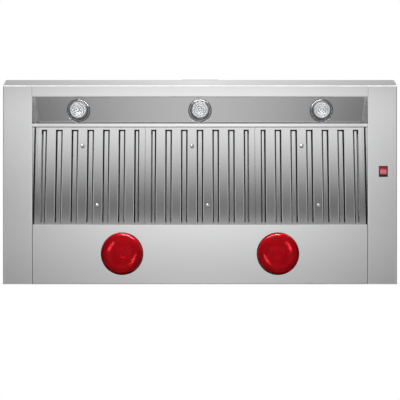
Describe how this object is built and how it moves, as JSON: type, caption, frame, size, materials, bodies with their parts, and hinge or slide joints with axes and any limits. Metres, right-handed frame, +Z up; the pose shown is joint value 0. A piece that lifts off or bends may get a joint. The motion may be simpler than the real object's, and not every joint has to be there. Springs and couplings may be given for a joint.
{
  "type": "wall mount range hood",
  "caption": "Wide stainless wall hood with baffle filters, recessed halogen lights, red warming lamps, an internal blower and a round duct collar.",
  "frame": {"origin": "centre of the four wall screw holes, on the back face", "axes": "+Z up, +Y into the wall, +X to the right of someone who faces the hood"},
  "size_m": [1.2192, 0.6414, 0.5173],
  "materials": {
    "stainless": "brushed",
    "filter_steel": "fine brushed",
    "galvanised": "galvanised sheet",
    "steel_parts": "zinc plated",
    "chrome_trim": "polished",
    "button_steel": "satin",
    "wheel_alloy": "rolled",
    "motor_paint": "satin black",
    "black_plastic": "moulded",
    "red_plastic": "translucent",
    "red_glass": "ruby glass",
    "lens_glass": "clear glass",
    "white_ceramic": "glazed ceramic"
  },
  "bodies": {
    "hood": {"back_panel": "galvanised", "blower_housing": "galvanised", "blower_motor": "motor_paint", "button_switch_block": "black_plastic", "centre_light_can": "galvanised", "centre_light_lamp": "lens_glass", "centre_light_ring": "chrome_trim", "control_plate": "stainless", "damper_pin": "steel_parts", "duct_collar": "galvanised", "filter_front_rail": "stainless", "front_panel": "stainless", "grease_trough": "stainless", "junction_box": "galvanised", "junction_box_cover": "galvanised", "lamp_transformer": "black_plastic", "left_light_can": "galvanised", "left_light_lamp": "lens_glass", "left_light_ring": "chrome_trim", "left_rim": "stainless", "left_side_panel": "stainless", "left_warming_bulb": "red_glass", "left_warming_can": "galvanised", "left_warming_socket": "white_ceramic", "light_tray": "stainless", "motor_bracket": "steel_parts", "rear_lamp_panel": "stainless", "right_light_can": "galvanised", "right_light_lamp": "lens_glass", "right_light_ring": "chrome_trim", "right_rim": "stainless", "right_side_panel": "stainless", "right_warming_bulb": "red_glass", "right_warming_can": "galvanised", "right_warming_socket": "white_ceramic", "sheet_metal_screws": "steel_parts", "switch_bezel": "black_plastic", "top_panel": "galvanised"},
    "rocker": {"switch_rocker": "red_plastic"},
    "light_key": {"light_button": "button_steel"},
    "fan_off_key": {"fan_off_button": "button_steel"},
    "fan_low_key": {"fan_low_button": "button_steel"},
    "fan_high_key": {"fan_high_button": "button_steel"},
    "blower_rotor": {"blower_wheel": "wheel_alloy", "motor_shaft": "steel_parts"},
    "rear_flap": {"rear_damper_flap": "galvanised"},
    "front_flap": {"front_damper_flap": "galvanised"},
    "left_filter": {"left_filter_frame": "filter_steel", "left_filter_front_baffles": "filter_steel", "left_filter_pulls": "chrome_trim", "left_filter_rear_baffles": "filter_steel"},
    "centre_filter": {"centre_filter_frame": "filter_steel", "centre_filter_front_baffles": "filter_steel", "centre_filter_pulls": "chrome_trim", "centre_filter_rear_baffles": "filter_steel"},
    "right_filter": {"right_filter_frame": "filter_steel", "right_filter_front_baffles": "filter_steel", "right_filter_pulls": "chrome_trim", "right_filter_rear_baffles": "filter_steel"}
  },
  "joints": [
    {"name": "rocker_tip", "type": "hinge", "parent": "hood", "child": "rocker", "pos_m": [0.567, -0.3488, -0.3272], "axis": [1, 0, 0], "range_deg": [0, 16]},
    {"name": "light_key_press", "type": "slide", "parent": "hood", "child": "light_key", "axis": [0, 1, 0], "range_m": [0, 0.0025], "stiffness_N_per_m": 400},
    {"name": "fan_off_key_press", "type": "slide", "parent": "hood", "child": "fan_off_key", "axis": [0, 1, 0], "range_m": [0, 0.0025], "stiffness_N_per_m": 400},
    {"name": "fan_low_key_press", "type": "slide", "parent": "hood", "child": "fan_low_key", "axis": [0, 1, 0], "range_m": [0, 0.0025], "stiffness_N_per_m": 400},
    {"name": "fan_high_key_press", "type": "slide", "parent": "hood", "child": "fan_high_key", "axis": [0, 1, 0], "range_m": [0, 0.0025], "stiffness_N_per_m": 400},
    {"name": "left_filter_lift", "type": "slide", "parent": "hood", "child": "left_filter", "axis": [0, 0, 1], "range_m": [0, 0.016]},
    {"name": "centre_filter_lift", "type": "slide", "parent": "hood", "child": "centre_filter", "axis": [0, 0, 1], "range_m": [0, 0.016]},
    {"name": "right_filter_lift", "type": "slide", "parent": "hood", "child": "right_filter", "axis": [0, 0, 1], "range_m": [0, 0.016]},
    {"name": "blower_spin", "type": "hinge", "parent": "hood", "child": "blower_rotor", "pos_m": [0, -0.27011, -0.0052], "axis": [1, 0, 0], "continuous": true},
    {"name": "rear_flap_swing", "type": "hinge", "parent": "hood", "child": "rear_flap", "pos_m": [0, -0.165, 0.147], "axis": [1, 0, 0], "range_deg": [0, 80]},
    {"name": "front_flap_swing", "type": "hinge", "parent": "hood", "child": "front_flap", "pos_m": [0, -0.165, 0.147], "axis": [-1, 0, 0], "range_deg": [0, 80]}
  ]
}
